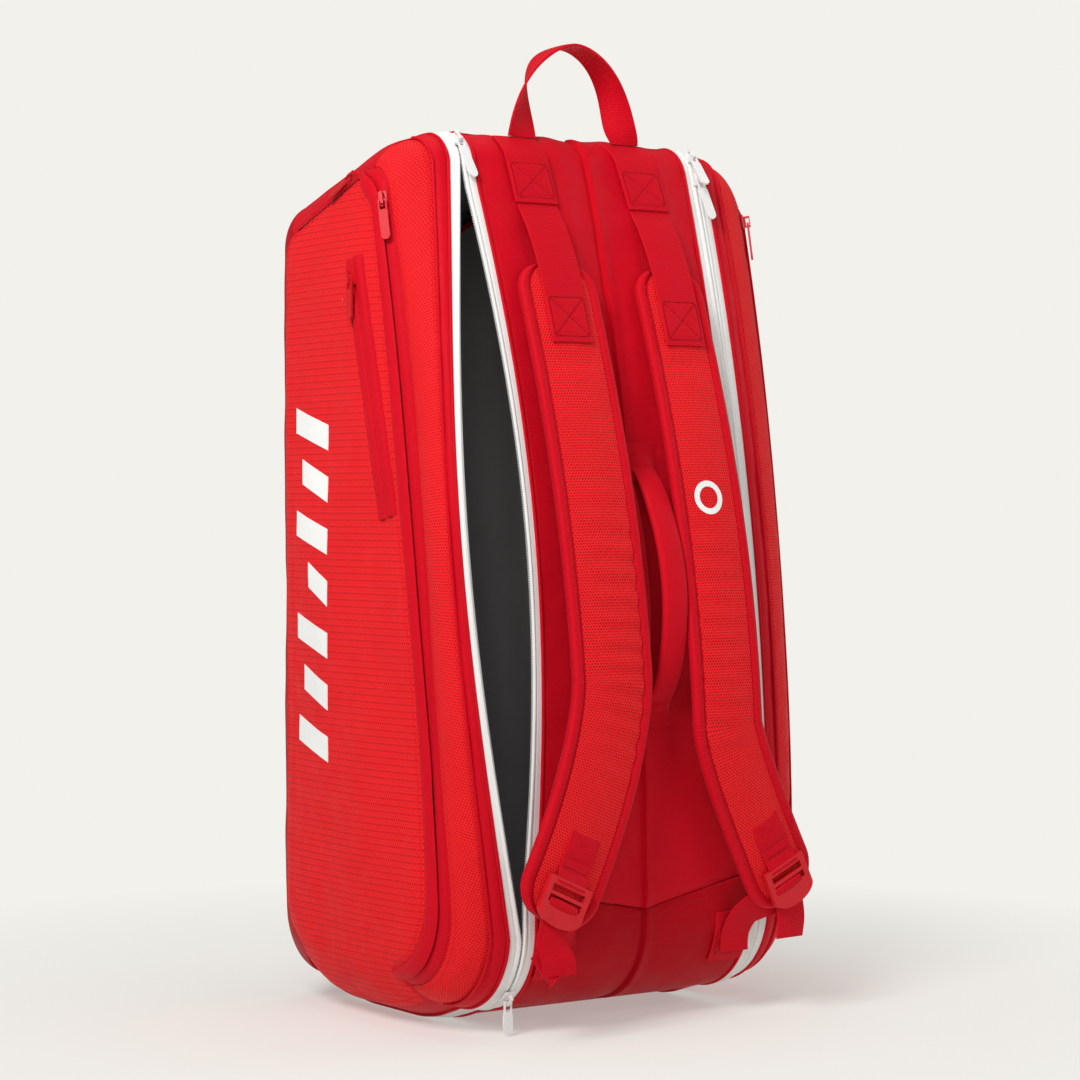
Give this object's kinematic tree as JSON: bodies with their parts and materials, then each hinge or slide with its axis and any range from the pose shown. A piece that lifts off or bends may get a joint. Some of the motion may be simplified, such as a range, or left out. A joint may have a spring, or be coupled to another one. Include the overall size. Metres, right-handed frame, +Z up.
{
  "type": "racket tournament bag",
  "caption": "Tall soft racket bag with two zipped clamshell compartments, padded shoulder straps, side carry handles and a haul loop on top.",
  "frame": {"origin": "on the floor, in the middle between the two side panels", "axes": "+Z up along the standing bag; the shoulder straps face -Y; the ajar compartment is on -X"},
  "size_m": [0.4164, 0.3702, 0.85],
  "materials": {
    "ribbed_shell": "coated polyester with fine dash ribs",
    "smooth_shell": "smooth coated polyester",
    "webbing": "ribbed polyester webbing",
    "strap_mesh": "padded spacer mesh with bound edges",
    "lining": "dark woven lining",
    "foam": "closed-cell foam",
    "zip_tape": "woven zip tape with coil",
    "pocket_zip_tape": "reverse coil zip tape",
    "zip_metal_white": "painted die-cast metal",
    "zip_metal_red": "painted die-cast metal",
    "buckle": "moulded acetal"
  },
  "bodies": {
    "bag": {"harness_panel": "ribbed_shell", "lower_panel": "smooth_shell", "top_end_panel": "smooth_shell", "base_panel": "smooth_shell", "bottom_end_panel": "smooth_shell", "middle_divider": "lining", "bottom_board": "lining", "harness_foam": "foam", "handle_patch": "ribbed_shell", "left_body_zip_tape": "zip_tape", "right_body_zip_tape": "zip_tape", "left_haul_webbing": "webbing", "right_haul_webbing": "webbing", "anchor_tabs": "webbing", "left_adjuster_webbing": "webbing", "right_adjuster_webbing": "webbing"},
    "haul_loop": {"haul_loop": "webbing"},
    "left_handle": {"left_carry_handle": "webbing"},
    "right_handle": {"right_carry_handle": "webbing"},
    "left_strap": {"left_shoulder_pad": "strap_mesh", "left_strap_webbing": "webbing", "left_stub_webbing": "webbing", "left_ladder_lock": "buckle", "left_webbing_tail": "webbing"},
    "left_cover": {"left_front_gusset": "ribbed_shell", "left_end_gussets": "smooth_shell", "left_back_gusset": "smooth_shell", "left_side_panel": "ribbed_shell", "left_cover_zip_tape": "zip_tape", "left_pocket_zip_tape": "pocket_zip_tape", "small_pocket_zip_tape": "pocket_zip_tape"},
    "right_strap": {"right_shoulder_pad": "strap_mesh", "right_strap_webbing": "webbing", "right_stub_webbing": "webbing", "right_ladder_lock": "buckle", "right_webbing_tail": "webbing"},
    "right_cover": {"right_front_gusset": "ribbed_shell", "right_end_gussets": "smooth_shell", "right_back_gusset": "smooth_shell", "right_side_panel": "ribbed_shell", "right_cover_zip_tape": "zip_tape", "right_pocket_zip_tape": "pocket_zip_tape"},
    "left_top_slider": {"left_top_slider": "zip_metal_white"},
    "left_top_pull": {"left_top_pull": "zip_metal_white"},
    "left_bottom_slider": {"left_bottom_slider": "zip_metal_white"},
    "left_bottom_pull": {"left_bottom_pull": "zip_metal_white"},
    "right_upper_slider": {"right_upper_slider": "zip_metal_white"},
    "right_upper_pull": {"right_upper_pull": "zip_metal_white"},
    "right_lower_slider": {"right_lower_slider": "zip_metal_white"},
    "right_lower_pull": {"right_lower_pull": "zip_metal_white"},
    "left_pocket_slider": {"left_pocket_slider": "zip_metal_red"},
    "left_pocket_pull": {"left_pocket_pull": "zip_metal_red"},
    "right_pocket_slider": {"right_pocket_slider": "zip_metal_red"},
    "right_pocket_pull": {"right_pocket_pull": "zip_metal_red"},
    "left_pocket_end_slider": {"left_pocket_end_slider": "zip_metal_red"},
    "left_pocket_end_pull": {"left_pocket_end_pull": "zip_metal_red"},
    "right_pocket_end_slider": {"right_pocket_end_slider": "zip_metal_red"},
    "right_pocket_end_pull": {"right_pocket_end_pull": "zip_metal_red"},
    "small_pocket_slider": {"small_pocket_slider": "zip_metal_red"},
    "small_pocket_pull": {"small_pocket_pull": "zip_metal_red"}
  },
  "joints": [
    {"name": "left_cover_opening", "type": "hinge", "parent": "bag", "child": "left_cover", "pos_m": [-0.125, 0.151, 0.38], "axis": [0, 0, -1], "range_deg": [0, 50]},
    {"name": "right_cover_opening", "type": "hinge", "parent": "bag", "child": "right_cover", "pos_m": [0.125, 0.151, 0.38], "axis": [0, 0, 1], "range_deg": [0, 50]},
    {"name": "haul_loop_swing", "type": "hinge", "parent": "bag", "child": "haul_loop", "pos_m": [0, -0.06461, 0.756], "axis": [1, 0, 0], "range_deg": [-35, 35], "stiffness_Nm_per_rad": 0.03},
    {"name": "left_handle_swing", "type": "hinge", "parent": "bag", "child": "left_handle", "pos_m": [-0.0132, -0.17896, 0.277], "axis": [0, -0.1213, -0.9926], "range_deg": [0, 8]},
    {"name": "right_handle_swing", "type": "hinge", "parent": "bag", "child": "right_handle", "pos_m": [0.0132, -0.17896, 0.277], "axis": [0, -0.1213, -0.9926], "range_deg": [0, 8]},
    {"name": "left_strap_swing", "type": "hinge", "parent": "bag", "child": "left_strap", "pos_m": [-0.055, -0.09573, 0.7], "axis": [-1, 0, 0], "range_deg": [0, 12]},
    {"name": "right_strap_swing", "type": "hinge", "parent": "bag", "child": "right_strap", "pos_m": [0.055, -0.09573, 0.7], "axis": [-1, 0, 0], "range_deg": [0, 12]},
    {"name": "left_top_slider_travel", "type": "hinge", "parent": "bag", "child": "left_top_slider", "pos_m": [-0.125, -0.04661, 0.731], "axis": [-1, 0, 0], "range_deg": [0, 20]},
    {"name": "left_bottom_slider_travel", "type": "hinge", "parent": "bag", "child": "left_bottom_slider", "pos_m": [-0.125, -0.098, 0.091], "axis": [-1, 0, 0], "range_deg": [0, 40]},
    {"name": "right_upper_slider_travel", "type": "hinge", "parent": "bag", "child": "right_upper_slider", "pos_m": [0.125, -0.04661, 0.731], "axis": [-1, 0, 0], "range_deg": [0, 20]},
    {"name": "right_lower_slider_travel", "type": "hinge", "parent": "bag", "child": "right_lower_slider", "pos_m": [0.125, 1.977, 0.116], "axis": [1, 0, 0], "range_deg": [0, 16]},
    {"name": "left_pocket_slider_travel", "type": "hinge", "parent": "left_cover", "child": "left_pocket_slider", "pos_m": [-0.19, 2.20118, 0.14659], "axis": [1, 0, 0], "range_deg": [0, 8]},
    {"name": "left_pocket_end_slider_travel", "type": "slide", "parent": "left_cover", "child": "left_pocket_end_slider", "axis": [0, 0.9471, -0.3209], "range_m": [0, 0.09]},
    {"name": "right_pocket_slider_travel", "type": "hinge", "parent": "right_cover", "child": "right_pocket_slider", "pos_m": [0.19, 2.20118, 0.14659], "axis": [1, 0, 0], "range_deg": [0, 8]},
    {"name": "right_pocket_end_slider_travel", "type": "slide", "parent": "right_cover", "child": "right_pocket_end_slider", "axis": [0, 0.9471, -0.3209], "range_m": [0, 0.09]},
    {"name": "small_pocket_slider_travel", "type": "slide", "parent": "left_cover", "child": "small_pocket_slider", "axis": [0.0115, -0.2208, -0.9752], "range_m": [0, 0.19]},
    {"name": "left_top_pull_swing", "type": "hinge", "parent": "left_top_slider", "child": "left_top_pull", "pos_m": [-0.125, -0.07626, 0.75853], "axis": [-1, 0, 0], "range_deg": [0, 60]},
    {"name": "left_bottom_pull_swing", "type": "hinge", "parent": "left_bottom_slider", "child": "left_bottom_pull", "pos_m": [-0.125, -0.14909, 0.02888], "axis": [-1, 0, 0], "range_deg": [-25, 60]},
    {"name": "right_upper_pull_swing", "type": "hinge", "parent": "right_upper_slider", "child": "right_upper_pull", "pos_m": [0.125, -0.07626, 0.75853], "axis": [-1, 0, 0], "range_deg": [0, 60]},
    {"name": "right_lower_pull_swing", "type": "hinge", "parent": "right_lower_slider", "child": "right_lower_pull", "pos_m": [0.125, -0.08717, 0.73645], "axis": [-1, 0, 0], "range_deg": [-5, 40]},
    {"name": "left_pocket_pull_swing", "type": "hinge", "parent": "left_pocket_slider", "child": "left_pocket_pull", "pos_m": [-0.19624, -0.06708, 0.70179], "axis": [-0.6595, 0.7298, -0.1802], "range_deg": [-2, 60]},
    {"name": "right_pocket_pull_swing", "type": "hinge", "parent": "right_pocket_slider", "child": "right_pocket_pull", "pos_m": [0.19624, -0.06708, 0.70179], "axis": [-0.6595, -0.7298, 0.1802], "range_deg": [-2, 60]},
    {"name": "left_pocket_end_pull_swing", "type": "hinge", "parent": "left_pocket_end_slider", "child": "left_pocket_end_pull", "pos_m": [-0.19675, -0.01582, 0.72691], "axis": [0.5325, 0.2716, 0.8016], "range_deg": [-5, 60]},
    {"name": "right_pocket_end_pull_swing", "type": "hinge", "parent": "right_pocket_end_slider", "child": "right_pocket_end_pull", "pos_m": [0.19675, -0.01582, 0.72691], "axis": [0.5325, -0.2716, -0.8016], "range_deg": [-5, 60]},
    {"name": "small_pocket_pull_swing", "type": "hinge", "parent": "small_pocket_slider", "child": "small_pocket_pull", "pos_m": [-0.21022, -0.03637, 0.63613], "axis": [0, 0.9753, -0.2208], "range_deg": [-3, 60]}
  ],
  "couplings": [
    {"joint": "left_handle_swing", "follows": "right_handle_swing", "ratio": 1}
  ]
}
